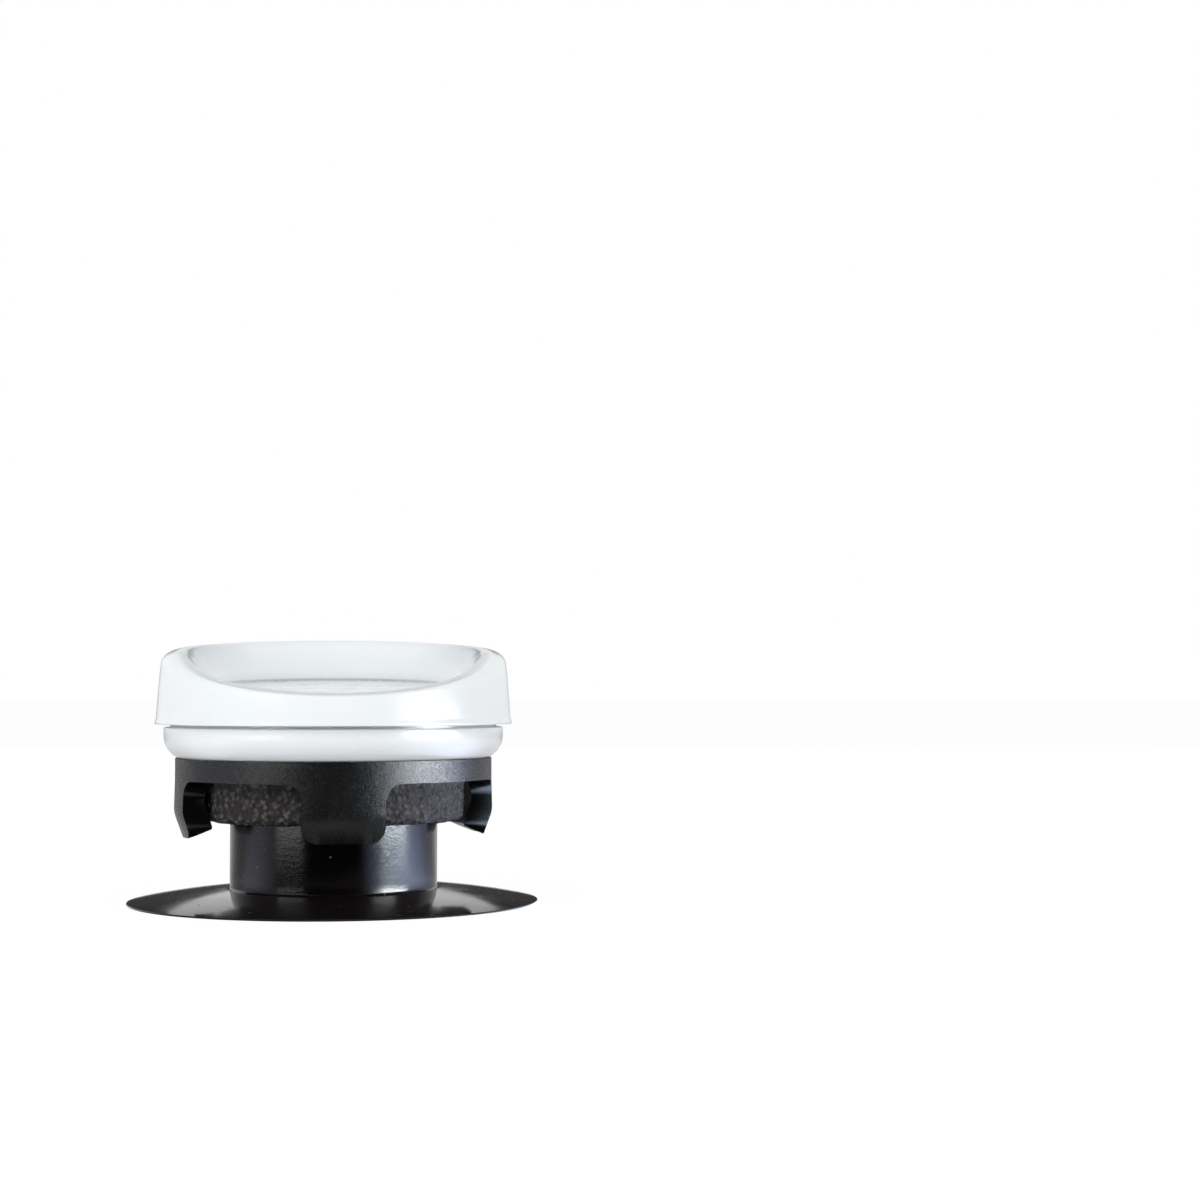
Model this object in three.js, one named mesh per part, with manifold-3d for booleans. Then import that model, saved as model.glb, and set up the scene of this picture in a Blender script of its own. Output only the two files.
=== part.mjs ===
// A thumb grip for a game controller, clipped on the thumbstick that carries it. Millimetres, +Z up.
// The origin is on the ground under the stick's axis. The front, where the thumb dish is low, is -Y.
import * as THREE from "three";
import { mergeVertices } from "three/addons/utils/BufferGeometryUtils.js";
import Module from "manifold-3d";

const wasm = await Module();
wasm.setup();

// The thumbstick's domed skirt.
const SKIRT_RADIUS = 13.95;
const SKIRT_EDGE = 0.12;
const SKIRT_CROWN = 0.98;
const SKIRT_FULLNESS = 3;
const SKIRT_WALL = 0.7;

// The thumbstick's hollow stem, its shaft socket and the ribs that hold the socket.
const STEM_RADIUS = 7.05;
const STEM_WALL = 1.2;
const STEM_FILLET = 0.15;
const SOCKET_BOSS_RADIUS = 3.4;
const SOCKET_BOSS_RECESS = 0.4;
const SOCKET_RADIUS = 2.0;
const SOCKET_ACROSS_FLATS = 3.0;
const SOCKET_DEPTH = 4.2;
const RIB_COUNT = 4;
const RIB_THICKNESS = 0.8;
const RIB_LOWER_EDGE = 2.2;

// The thumbstick's round head: a plastic plate with a rubber tread moulded round it.
const HEAD_RADIUS = 9.0;
const HEAD_UNDERSIDE = 5.52;
const HEAD_HEIGHT = 3.16;
const HEAD_LOWER_ROUNDING = 0.6;
const HEAD_UPPER_ROUNDING = 0.35;
const TREAD_UNDER_PLATE = 0.7;
const TREAD_CLEARANCE = 0.05;
const PLATE_OVERHANG = 0.9;
const PLATE_THICKNESS = 1.0;
const HEAD_DISH_RADIUS = 7.4;
const HEAD_DISH_DEPTH = 0.9;

// The clip: a disc with a band round it, and claws that snap under the head.
// The claws' turns, like the first peg's, are in degrees from the front toward +X.
const DISC_THICKNESS = 1.0;
const BAND_WALL = 1.56;
const CLAW_TURNS = [3.4, 98, 183.4, 278];
const CLIP_LIP_LAND = 0.1;
const BAND_DEPTH = 1.28;
const BAND_CLEARANCE = 0.2;
const CLAW_WIDTH = 5.4;
const CLAW_FLARE = 0.06;
const CLAW_ROOT_FILLET = 1.15;
const CLAW_TOE_ROUNDING = 1.05;
const CLAW_BEND_RISE = 0.68;
const CLAW_REACH = 0.97;
const CLAW_LEAN = 0.6;
const HOOK_BITE = 0.08;
const HOOK_DEPTH = 0.32;
const HOOK_RELIEF = 0.5;
const HOOK_RELIEF_RISE = 1.6;

// The riser: the white puck on the clip. A stud through the clip's disc holds it and pegs keep it square.
const RISER_OVERHANG = 0.78;
const RISER_HEIGHT = 2.26;
const RISER_ROUNDING = 1.7;
const SEAT_CLEARANCE = 0.05;
const STUD_RADIUS = 2.4;
const STUD_HEAD_OVERHANG = 0.6;
const STUD_HEAD_HEIGHT = 0.45;
const PEG_COUNT = 4;
const FIRST_PEG_TURN = 48;
const PEG_RADIUS = 0.9;
const PEG_CIRCLE_RADIUS = 6.2;
const PLUG_HEIGHT = 1.4;
const BEAD_HEIGHT = 0.15;
const BEAD_HALF_WIDTH = 0.3;

// The cover: its thumb dish has a high wall at the back and the sides, and is open at the front.
// The crease share is the dish wall's slope where it meets the floor, against its mean slope.
const COVER_STEP = 0.55;
const COVER_WALL = 0.95;
const COVER_DRAFT = 0.075;
const SHADOW_GAP = 0.2;
const LIP_FLARE = 0.07;
const LIP_HEIGHT = 0.4;
const RIM_BACK_HEIGHT = 5.92;
const RIM_SIDE_HEIGHT = 5.1;
const RIM_FRONT_HEIGHT = 2.1;
const RIM_FRONT_RISE = 3.4;
const RIM_BLEND = 0.12;
const RIM_BACK_SHOULDER = 1.35;
const RIM_BACK_ROUNDING = 0.95;
const RIM_FRONT_SHOULDER = 0.5;
const RIM_FRONT_ROUNDING = 0.4;
const DISH_FLOOR_RADIUS = 8.1;
const DISH_FLOOR_HEIGHT = 2.56;
const DISH_FLOOR_FALL = 0.055;
const DISH_CREASE_SHARE = 0.4;

// Fineness of the round shapes, and how far a cutting shape runs past what it cuts.
const SEGMENTS = 48;
const PAST = 1.0;

// Heights that stack up from the ground.
const plateUnderside = HEAD_UNDERSIDE + TREAD_UNDER_PLATE;
const plateTop = plateUnderside + PLATE_THICKNESS;
const headTop = HEAD_UNDERSIDE + HEAD_HEIGHT;
const discTop = headTop + DISC_THICKNESS;
const bandBottom = discTop - BAND_DEPTH;
const shoulder = discTop + RISER_HEIGHT;
const plugTop = shoulder + PLUG_HEIGHT;
const coverBottom = shoulder + SHADOW_GAP;

// Radii that follow from their neighbours.
const stemInnerRadius = STEM_RADIUS - STEM_WALL;
const plateRadius = STEM_RADIUS + PLATE_OVERHANG;
const bandInnerRadius = HEAD_RADIUS + BAND_CLEARANCE;
const clipRadius = bandInnerRadius + BAND_WALL;
const riserRadius = clipRadius + RISER_OVERHANG;
const coverRadius = riserRadius + COVER_STEP;
const pocketRadius = coverRadius - COVER_WALL;
const plugRadius = pocketRadius - SEAT_CLEARANCE;
const studHoleRadius = STUD_RADIUS + SEAT_CLEARANCE;
const pegHoleRadius = PEG_RADIUS + SEAT_CLEARANCE;

// Centre of the rounding under the riser.
const roundingR = riserRadius - RISER_ROUNDING;
const roundingZ = discTop + RISER_ROUNDING;

const radians = THREE.MathUtils.degToRad;
const degrees = THREE.MathUtils.radToDeg;

// Points on an ellipse's arc in a profile, from one angle to another in degrees, both ends included.
function arc(centreR, centreZ, radiusR, radiusZ, from, to, steps) {
  const points = [];
  for (let i = 0; i <= steps; i++) {
    const angle = radians(from + ((to - from) * i) / steps);
    points.push([centreR + radiusR * Math.cos(angle), centreZ + radiusZ * Math.sin(angle)]);
  }
  return points;
}

// A turned shape: the profile is a list of [radius, height] and closes on itself or on the axis.
function turned(profile) {
  const points = profile.map(([r, z]) => new THREE.Vector2(r, z));
  return new THREE.LatheGeometry(points, SEGMENTS).rotateX(Math.PI / 2);
}

// A turned shape whose profile changes as it goes round. The profile is asked for with the share
// that a column faces the back: 1 at the back, 0 at the sides and -1 at the front.
function turnedVarying(profileAt) {
  const count = profileAt(0).length;
  const geometry = turned(profileAt(0));
  const position = geometry.getAttribute("position");
  for (let column = 0; column <= SEGMENTS; column++) {
    const turn = (2 * Math.PI * (column % SEGMENTS)) / SEGMENTS;
    const across = Math.sin(turn);
    const back = -Math.cos(turn);
    profileAt(back).forEach(([r, z], row) => {
      position.setXYZ(column * count + row, r * across, r * back, z);
    });
  }
  return geometry;
}

// A three.js geometry as a solid that can be cut and joined.
function solid(geometry) {
  const bare = geometry.clone();
  bare.deleteAttribute("normal");
  bare.deleteAttribute("uv");
  const merged = mergeVertices(bare, 1e-4);
  return new wasm.Manifold(
    new wasm.Mesh({
      numProp: 3,
      vertProperties: merged.getAttribute("position").array,
      triVerts: new Uint32Array(merged.index.array),
    }),
  );
}

// A solid back as a three.js geometry.
function geometryOf(made) {
  const { vertProperties, triVerts } = made.getMesh();
  return new THREE.BufferGeometry()
    .setAttribute("position", new THREE.BufferAttribute(vertProperties, 3))
    .setIndex(new THREE.BufferAttribute(triVerts, 1));
}

// An upright round pin off the axis.
function pin(radius, low, high, x, y) {
  return new THREE.CylinderGeometry(radius, radius, high - low, 16)
    .rotateX(Math.PI / 2)
    .translate(x, y, (low + high) / 2);
}

function plainMaterial(name, colour, roughness) {
  return new THREE.MeshStandardMaterial({ name, color: colour, roughness, metalness: 0 });
}

const whiteRubber = plainMaterial("white_cover_rubber", "#eef1f3", 0.35);
const whitePlastic = plainMaterial("white_riser_plastic", "#e6eaed", 0.35);
const clipPlastic = plainMaterial("black_clip_plastic", "#26282b", 0.45);
const treadRubber = plainMaterial("dark_tread_rubber", "#3a3531", 0.9);
const stickPlastic = plainMaterial("black_stick_plastic", "#131218", 0.25);

const grip = new THREE.Group();

function add(name, geometry, material) {
  const mesh = new THREE.Mesh(geometry, material);
  mesh.name = name;
  grip.add(mesh);
}

// Height of the skirt's upper face at a radius: a shallow dome with a thin edge.
function skirtTop(r) {
  return SKIRT_EDGE + SKIRT_CROWN * (1 - (r / SKIRT_RADIUS) ** SKIRT_FULLNESS);
}

// The radius outside which the skirt is thinner than its wall and rests flat on the ground.
function skirtFootRadius() {
  const left = 1 - Math.max(0, SKIRT_WALL - SKIRT_EDGE) / SKIRT_CROWN;
  return SKIRT_RADIUS * left ** (1 / SKIRT_FULLNESS);
}

// The skirt, the hollow stem, the head's plate and the shaft socket are one moulding.
function makeThumbstick() {
  const steps = 6;
  const foot = skirtFootRadius();
  const root = STEM_RADIUS + STEM_FILLET;
  const under = [];
  const over = [];
  for (let i = 0; i < steps; i++) {
    const r = stemInnerRadius + ((foot - stemInnerRadius) * i) / steps;
    under.push([r, skirtTop(r) - SKIRT_WALL]);
  }
  for (let i = 0; i < steps; i++) {
    const r = SKIRT_RADIUS + ((root - SKIRT_RADIUS) * i) / steps;
    over.push([r, skirtTop(r)]);
  }
  const shell = turned([
    [0, SOCKET_BOSS_RECESS],
    [SOCKET_BOSS_RADIUS, SOCKET_BOSS_RECESS],
    [SOCKET_BOSS_RADIUS, plateUnderside],
    [stemInnerRadius, plateUnderside],
    ...under,
    [foot, 0],
    [SKIRT_RADIUS, 0],
    ...over,
    ...arc(root, skirtTop(root) + STEM_FILLET, STEM_FILLET, STEM_FILLET, 270, 180, 2),
    [STEM_RADIUS, plateUnderside],
    [plateRadius, plateUnderside],
    [plateRadius, plateTop],
    [0, plateTop],
  ]);
  let made = solid(shell);
  const inset = Math.min(STEM_WALL, SOCKET_BOSS_RADIUS - SOCKET_RADIUS) / 2;
  const near = SOCKET_BOSS_RADIUS - inset;
  const far = stemInnerRadius + inset;
  const ribTop = plateUnderside + PLATE_THICKNESS / 2;
  for (let i = 0; i < RIB_COUNT; i++) {
    const rib = new THREE.BoxGeometry(far - near, RIB_THICKNESS, ribTop - RIB_LOWER_EDGE)
      .translate((near + far) / 2, 0, (RIB_LOWER_EDGE + ribTop) / 2)
      .rotateZ((2 * Math.PI * (i + 0.5)) / RIB_COUNT);
    made = made.add(solid(rib));
  }
  const corner = Math.asin(SOCKET_ACROSS_FLATS / 2 / SOCKET_RADIUS);
  const outline = new THREE.Shape();
  outline.absarc(0, 0, SOCKET_RADIUS, -corner, corner, false);
  outline.absarc(0, 0, SOCKET_RADIUS, Math.PI - corner, Math.PI + corner, false);
  const depth = SOCKET_DEPTH + PAST;
  const socket = new THREE.ExtrudeGeometry(outline, { depth, bevelEnabled: false, curveSegments: 6 });
  socket.translate(0, 0, SOCKET_BOSS_RECESS - PAST);
  return geometryOf(made.subtract(solid(socket)));
}

// Height of the shallow dish in the top of the head.
function headDish(r) {
  return headTop - HEAD_DISH_DEPTH * (1 - (r / HEAD_DISH_RADIUS) ** 2);
}

// The rubber tread wraps the plate, and the stem passes through its underside.
function makeTread() {
  const hole = STEM_RADIUS + TREAD_CLEARANCE;
  const pocket = plateRadius + TREAD_CLEARANCE;
  const lower = HEAD_LOWER_ROUNDING;
  const upper = HEAD_UPPER_ROUNDING;
  const dish = [];
  const steps = 4;
  for (let i = 0; i <= steps; i++) {
    const r = HEAD_DISH_RADIUS * (1 - i / steps);
    dish.push([r, headDish(r)]);
  }
  return turned([
    [0, plateTop],
    [pocket, plateTop],
    [pocket, plateUnderside - TREAD_CLEARANCE],
    [hole, plateUnderside - TREAD_CLEARANCE],
    [hole, HEAD_UNDERSIDE],
    ...arc(HEAD_RADIUS - lower, HEAD_UNDERSIDE + lower, lower, lower, -90, 0, 4),
    ...arc(HEAD_RADIUS - upper, headTop - upper, upper, upper, 0, 90, 3),
    ...dish,
  ]);
}

// Front outline of a claw: flared into the band at its roots, with straight sides and round toes.
function clawOutline(top, bottom) {
  const half = CLAW_WIDTH / 2;
  const root = half + CLAW_ROOT_FILLET;
  const filletZ = bandBottom - CLAW_ROOT_FILLET;
  const toe = CLAW_TOE_ROUNDING;
  const outline = new THREE.Shape();
  outline.moveTo(-root, top);
  outline.absarc(-root, filletZ, CLAW_ROOT_FILLET, Math.PI / 2, 0, true);
  outline.absarc(-half + toe, bottom + toe, toe, Math.PI, 1.5 * Math.PI, false);
  outline.absarc(half - toe, bottom + toe, toe, 1.5 * Math.PI, 2 * Math.PI, false);
  outline.absarc(root, filletZ, CLAW_ROOT_FILLET, Math.PI, Math.PI / 2, true);
  outline.lineTo(root, top);
  outline.closePath();
  return outline;
}

// Where a peg stands.
function pegPlace(i) {
  const turn = radians(FIRST_PEG_TURN) + (2 * Math.PI * i) / PEG_COUNT;
  return [PEG_CIRCLE_RADIUS * Math.sin(turn), -PEG_CIRCLE_RADIUS * Math.cos(turn)];
}

// The clip's wall is turned whole, and only its band and its claws are kept.
function makeClip() {
  const toeZ = HEAD_UNDERSIDE - CLAW_REACH;
  const hookZ = HEAD_UNDERSIDE - HOOK_DEPTH;
  const hookR = HEAD_RADIUS - HOOK_BITE;
  const bendZ = HEAD_UNDERSIDE + CLAW_BEND_RISE;
  const outer = clipRadius + CLAW_FLARE;
  const cradle = RISER_ROUNDING + SEAT_CLEARANCE;
  const steepest = Math.acos((clipRadius - CLIP_LIP_LAND - roundingR) / cradle);
  const lipZ = roundingZ - cradle * Math.sin(steepest);
  const whole = turned([
    [studHoleRadius, headTop],
    [bandInnerRadius, headTop],
    [bandInnerRadius, bandBottom],
    [HEAD_RADIUS + HOOK_RELIEF, HEAD_UNDERSIDE + HOOK_RELIEF_RISE],
    [hookR, hookZ + HOOK_DEPTH / 2],
    [hookR, hookZ],
    [outer - CLAW_LEAN, toeZ],
    [outer, bendZ],
    [clipRadius, bandBottom],
    [clipRadius, lipZ],
    ...arc(roundingR, roundingZ, cradle, cradle, -degrees(steepest), -90, 3),
    [roundingR - SEAT_CLEARANCE, discTop],
    [studHoleRadius, discTop],
    [studHoleRadius, headTop],
  ]);
  const outside = outer + PAST;
  const band = turned([
    [0, bandBottom],
    [outside, bandBottom],
    [outside, lipZ + PAST],
    [0, lipZ + PAST],
  ]);
  let kept = solid(band);
  const outline = clawOutline(bandBottom + BAND_DEPTH / 2, toeZ);
  const options = { depth: outside, bevelEnabled: false, curveSegments: 5 };
  for (const turn of CLAW_TURNS) {
    const claw = new THREE.ExtrudeGeometry(outline, options).rotateX(Math.PI / 2).rotateZ(radians(turn));
    kept = kept.add(solid(claw));
  }
  let made = solid(whole).intersect(kept);
  for (let i = 0; i < PEG_COUNT; i++) {
    const [x, y] = pegPlace(i);
    made = made.subtract(solid(pin(pegHoleRadius, headTop - PAST, discTop + PAST, x, y)));
  }
  return geometryOf(made);
}

// The riser: rounded below, with a beaded plug above that the cover snaps over.
function makeRiser() {
  const studHead = STUD_RADIUS + STUD_HEAD_OVERHANG;
  const beadZ = shoulder + PLUG_HEIGHT / 2;
  const puck = turned([
    [0, headTop - STUD_HEAD_HEIGHT],
    [studHead, headTop - STUD_HEAD_HEIGHT],
    [studHead, headTop],
    [STUD_RADIUS, headTop],
    [STUD_RADIUS, discTop],
    ...arc(roundingR, roundingZ, RISER_ROUNDING, RISER_ROUNDING, -90, 0, 6),
    [riserRadius, shoulder],
    [plugRadius, shoulder],
    [plugRadius, beadZ - BEAD_HALF_WIDTH],
    [plugRadius + BEAD_HEIGHT, beadZ],
    [plugRadius, beadZ + BEAD_HALF_WIDTH],
    [plugRadius, plugTop],
    [0, plugTop],
  ]);
  let made = solid(puck);
  for (let i = 0; i < PEG_COUNT; i++) {
    const [x, y] = pegPlace(i);
    made = made.add(solid(pin(PEG_RADIUS, headTop, discTop + RISER_ROUNDING, x, y)));
  }
  return geometryOf(made);
}

// Height of the cover's rim: a steep plane at the front runs softly into a level one behind it.
function rimHeight(back) {
  const level = RIM_SIDE_HEIGHT + (RIM_BACK_HEIGHT - RIM_SIDE_HEIGHT) * back;
  const steep = RIM_FRONT_HEIGHT + RIM_FRONT_RISE * (back + 1);
  const apart = level - steep;
  return coverBottom + (level + steep - Math.sqrt(apart * apart + RIM_BLEND * RIM_BLEND)) / 2;
}

// Radius of the cover's outer wall at a height.
function coverWall(z) {
  return coverRadius - COVER_DRAFT * (z - coverBottom);
}

// Height of the dish floor, a plane that falls a little to the front.
function dishFloor(r, back) {
  return coverBottom + DISH_FLOOR_HEIGHT + DISH_FLOOR_FALL * r * back;
}

// One column of the cover, from the pocket under it, round its skirt and rim, to the dish floor.
function coverProfile(back) {
  const high = THREE.MathUtils.smoothstep(rimHeight(back), rimHeight(-1), rimHeight(0));
  const shoulderWidth = THREE.MathUtils.lerp(RIM_FRONT_SHOULDER, RIM_BACK_SHOULDER, high);
  const rounding = THREE.MathUtils.lerp(RIM_FRONT_ROUNDING, RIM_BACK_ROUNDING, high);
  const crestZ = rimHeight(back);
  const shoulderZ = crestZ - rounding;
  const crestR = coverWall(shoulderZ) - shoulderWidth;
  const deep = crestZ - dishFloor(crestR, back);
  const wall = [];
  const steps = 11;
  for (let i = 1; i <= steps; i++) {
    const out = 1 - i / steps;
    const easing = out * out * (3 - 2 * out);
    const climb = easing + DISH_CREASE_SHARE * out * (1 - out) * (1 - out);
    const r = DISH_FLOOR_RADIUS + (crestR - DISH_FLOOR_RADIUS) * out;
    wall.push([r, dishFloor(r, back) + deep * climb]);
  }
  const beadZ = shoulder + PLUG_HEIGHT / 2;
  const lipTop = coverBottom + LIP_HEIGHT;
  const midFloorR = DISH_FLOOR_RADIUS / 2;
  return [
    [0, plugTop],
    [pocketRadius, plugTop],
    [pocketRadius, beadZ + BEAD_HALF_WIDTH],
    [pocketRadius + BEAD_HEIGHT, beadZ],
    [pocketRadius, beadZ - BEAD_HALF_WIDTH],
    [pocketRadius, coverBottom],
    [coverRadius + LIP_FLARE, coverBottom],
    [coverRadius + LIP_FLARE, coverBottom + LIP_HEIGHT / 2],
    [coverWall(lipTop), lipTop],
    ...arc(crestR, shoulderZ, shoulderWidth, rounding, 0, 90, 6),
    ...wall,
    [midFloorR, dishFloor(midFloorR, back)],
    [0, dishFloor(0, back)],
  ];
}

add("thumb_cover", turnedVarying(coverProfile), whiteRubber);
add("riser", makeRiser(), whitePlastic);
add("stick_clip", makeClip(), clipPlastic);
add("head_tread", makeTread(), treadRubber);
add("thumbstick", makeThumbstick(), stickPlastic);

export default grip;
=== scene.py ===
"""Looks, light and camera for the controller thumb grip.

Shapes are built in millimetres and set down in metres.
"""

import math

import bmesh
import bpy
from mathutils import Matrix, Vector, noise


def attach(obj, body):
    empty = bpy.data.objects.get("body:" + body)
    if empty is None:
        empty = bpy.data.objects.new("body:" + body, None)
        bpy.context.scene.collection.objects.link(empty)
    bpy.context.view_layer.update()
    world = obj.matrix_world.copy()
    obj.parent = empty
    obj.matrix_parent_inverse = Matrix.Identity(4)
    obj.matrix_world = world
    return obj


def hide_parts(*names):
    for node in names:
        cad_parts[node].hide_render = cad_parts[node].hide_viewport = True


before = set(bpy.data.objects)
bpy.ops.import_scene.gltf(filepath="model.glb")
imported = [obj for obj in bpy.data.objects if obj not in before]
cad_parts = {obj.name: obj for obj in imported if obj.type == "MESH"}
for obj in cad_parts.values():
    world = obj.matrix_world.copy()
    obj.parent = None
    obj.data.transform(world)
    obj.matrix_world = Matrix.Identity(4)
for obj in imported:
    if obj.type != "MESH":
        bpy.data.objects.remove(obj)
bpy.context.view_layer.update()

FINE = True

# Sizes of the solids, in millimetres.
SKIRT_R, SKIRT_EDGE, SKIRT_CROWN, SKIRT_WALL = 13.95, 0.12, 0.98, 0.7
STEM_R, STEM_WALL, STEM_FILLET = 7.05, 1.2, 0.15
BOSS_R, BOSS_RECESS, SOCKET_R, SOCKET_FLATS, SOCKET_DEPTH = 3.4, 0.4, 2.0, 3.0, 4.2
RIB_NEAR, RIB_FAR, RIB_LOW, RIB_TOP, RIB_THICK = 2.7, 6.55, 2.2, 6.72, 0.8
HEAD_R, HEAD_LOW, HEAD_TOP, HEAD_DISH_R, HEAD_DISH = 9.0, 5.52, 8.68, 7.4, 0.9
PLATE_LOW, PLATE_TOP, PLATE_R = 6.22, 7.22, 7.95
DISC_TOP, DISC_HOLE_R, BAND_LOW, CLIP_R = 9.68, 2.45, 8.4, 10.76
CLAW_TURNS = (3.4, 98, 183.4, 278)
CLAW_HALF, CLAW_FILLET, CLAW_TOE_ROUND = 2.7, 1.15, 1.05
TOE_Z, HOOK_Z, HOOK_R = HEAD_LOW - 0.97, HEAD_LOW - 0.32, HEAD_R - 0.08
STUD_R, STUD_FOOT_R, STUD_LOW = 2.4, 3.0, HEAD_TOP - 0.45
RISER_R, RISER_ROUND, SHOULDER, PLUG_R, PLUG_TOP = 11.54, 1.7, 11.94, 11.09, 13.34
COVER_LOW, COVER_R, POCKET_R, DRAFT = 12.14, 12.09, 11.14, 0.075

# The rim's height over COVER_LOW, in front, at the side and behind, its climb and the blend's size.
RIM_FRONT, RIM_SIDE, RIM_BACK, RIM_CLIMB, RIM_BLEND = 2.1, 5.1, 5.92, 3.4, 0.12
# Width and height of the rounding outside the crest, where the rim is low and where it is high,
# and the angle at which it starts over the side.
CREST_LOW, CREST_HIGH = (0.5, 0.4), (1.35, 0.95)
CREST_START = 7
# The radius where the dish's wall ends and where its floor starts, the floor's level and slope.
DISH_R, DISH_FLOOR_R, DISH_LEVEL, DISH_SLOPE = 8.1, 7.8, 2.56, 0.055
# Radius and depth of the points of the groove round the dish's floor.
DISH_GROOVE = ((8.06, 0.045), (8.0, 0.06), (7.94, 0.045), (7.88, 0.0))

# The tread's roundings and grid, and how deep its skin, lumps and pores go.
TREAD_LOWER, TREAD_UPPER, TREAD_GRID = 0.6, 0.35, 0.13
TREAD_SKIN, TREAD_LUMP, TREAD_PORE = 0.12, 0.10, 0.06

# Colours, each as a pair that a soft cloud of noise runs between, and single ones.
RUBBER_WHITES = (0.90, 0.93, 0.945), (0.88, 0.915, 0.93)
PLASTIC_WHITES = (0.90, 0.93, 0.945), (0.87, 0.90, 0.92)
# Painted shade: the grey that the cover's dish is darkened towards, along its crest and in its
# crease.
DISH_PAINTED_SHADE = (0.44, 0.47, 0.49)
CLIP_BLACKS = (0.0045, 0.0047, 0.005), (0.009, 0.0093, 0.010)
# The clip's cut sides: a darker black, which is painted shade.
CLIP_CUT_SHADE_BLACK = (0.0022, 0.0022, 0.0023)
# The tread's black in its hollows, which is painted shade, and on its lumps.
TREAD_HOLLOW_SHADE_BLACKS = (0.024, 0.021, 0.021), (0.145, 0.13, 0.13)
STICK_BLACKS = (0.0008, 0.0006, 0.0008), (0.0035, 0.0018, 0.0024)
STICK_FILM, STICK_DUST = (0.006, 0.0038, 0.0044), (0.17, 0.11, 0.11)
WHITE_LIGHT, COOL_LIGHT, LAMP_LIGHT = (1.0, 1.0, 1.0), (0.92, 0.97, 1.0), (0.98, 0.99, 1.0)


# Helpers for shapes.

def clamp(value, low=0, high=1):
    return min(max(value, low), high)


def arc(cr, cz, rr, rz, start, end, steps):
    """Points on an ellipse's arc in a profile, angles in degrees."""
    angles = (math.radians(start + (end - start) * i / steps) for i in range(steps + 1))
    return [(cr + rr * math.cos(a), cz + rz * math.sin(a)) for a in angles]


def softened(profile, steps=3):
    """A profile whose corners given as (r, z, rounding) become arcs."""
    out = []
    for i, point in enumerate(profile):
        if len(point) == 2:
            out.append(point)
            continue
        here = Vector(point[:2])
        before = Vector(profile[i - 1][:2]) - here
        after = Vector(profile[(i + 1) % len(profile)][:2]) - here
        reach = min(point[2], before.length * 0.45, after.length * 0.45)
        a = here + before.normalized() * reach
        b = here + after.normalized() * reach
        for k in range(steps + 1):
            t = k / steps
            p = a * (1 - t) ** 2 + here * 2 * t * (1 - t) + b * t ** 2
            out.append((p.x, p.y))
    return out


def dense(profile, longest):
    """The same profile with no straight run longer than given."""
    out = [profile[0]]
    for (r, z), (next_r, next_z) in zip(profile, profile[1:]):
        runs = max(1, math.ceil(math.dist((r, z), (next_r, next_z)) / longest))
        for k in range(1, runs + 1):
            out.append((r + (next_r - r) * k / runs, z + (next_z - z) * k / runs))
    return out


def turned(profile_at, segments, closed=False):
    """A bmesh turned about Z, from a function that gives the profile at each column's angle."""
    bm = bmesh.new()
    columns = []
    first = profile_at(0.0)
    poles = {j: bm.verts.new((0, 0, z)) for j, (r, z) in enumerate(first) if abs(r) < 1e-9}
    for i in range(segments):
        turn = 2 * math.pi * i / segments
        across, back = math.sin(turn), -math.cos(turn)
        column = []
        for j, (r, z) in enumerate(profile_at(turn)):
            column.append(poles[j] if j in poles else bm.verts.new((r * across, r * back, z)))
        columns.append(column)
    rows = len(first) if closed else len(first) - 1
    for i in range(segments):
        a, b = columns[i], columns[(i + 1) % segments]
        for j in range(rows):
            k = (j + 1) % len(first)
            ring = [a[j], b[j], b[k], a[k]]
            ring = [v for n, v in enumerate(ring) if v not in ring[:n]]
            if len(ring) > 2:
                bm.faces.new(ring)
    return bm


def solid_between(ring, other):
    """A closed bmesh between two like rings of points."""
    bm = bmesh.new()
    one = [bm.verts.new(point) for point in ring]
    two = [bm.verts.new(point) for point in other]
    bm.faces.new(one)
    bm.faces.new(list(reversed(two)))
    for i in range(len(one)):
        k = (i + 1) % len(one)
        bm.faces.new([one[i], two[i], two[k], one[k]])
    return bm


def spin(bm, degrees):
    """Turns a bmesh about Z."""
    matrix = Matrix.Rotation(math.radians(degrees), 3, "Z")
    bmesh.ops.rotate(bm, verts=bm.verts, cent=(0, 0, 0), matrix=matrix)
    return bm


def added_object(name, bm):
    """A new object in the scene that takes the bmesh over."""
    mesh = bpy.data.meshes.new(name)
    bm.to_mesh(mesh)
    bm.free()
    obj = bpy.data.objects.new(name, mesh)
    bpy.context.scene.collection.objects.link(obj)
    return obj


def piece(name, bm, look, node, sharp):
    """A bmesh in millimetres as a finished object in metres, in place of a CAD node."""
    bmesh.ops.recalc_face_normals(bm, faces=bm.faces)
    bmesh.ops.scale(bm, vec=(0.001, 0.001, 0.001), verts=bm.verts)
    obj = added_object(name, bm)
    mesh = obj.data
    mesh.polygons.foreach_set("use_smooth", [True] * len(mesh.polygons))
    mesh.set_sharp_from_angle(angle=math.radians(sharp))
    mesh.materials.append(look)
    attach(obj, "root")
    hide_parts(node)
    return obj


def temporary(bm):
    """A bmesh as an object in millimetres, for cutting and joining."""
    bmesh.ops.recalc_face_normals(bm, faces=bm.faces)
    return added_object("cut", bm)


def taken_back(obj):
    """The object's bmesh. The object itself is removed."""
    bm = bmesh.new()
    bm.from_mesh(obj.data)
    bpy.data.objects.remove(obj)
    return bm


def settle(obj):
    """Applies the object's modifiers to its mesh."""
    bpy.context.view_layer.update()
    evaluated = obj.evaluated_get(bpy.context.evaluated_depsgraph_get())
    made = bpy.data.meshes.new_from_object(evaluated)
    obj.modifiers.clear()
    obj.data = made


def cut(obj, other, operation):
    """obj joined with, cut by or limited to other, which is used up."""
    step = obj.modifiers.new("cut", "BOOLEAN")
    step.operation, step.solver, step.object = operation, "EXACT", other
    settle(obj)
    bpy.data.objects.remove(other)


# Helpers for materials and light.

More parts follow.
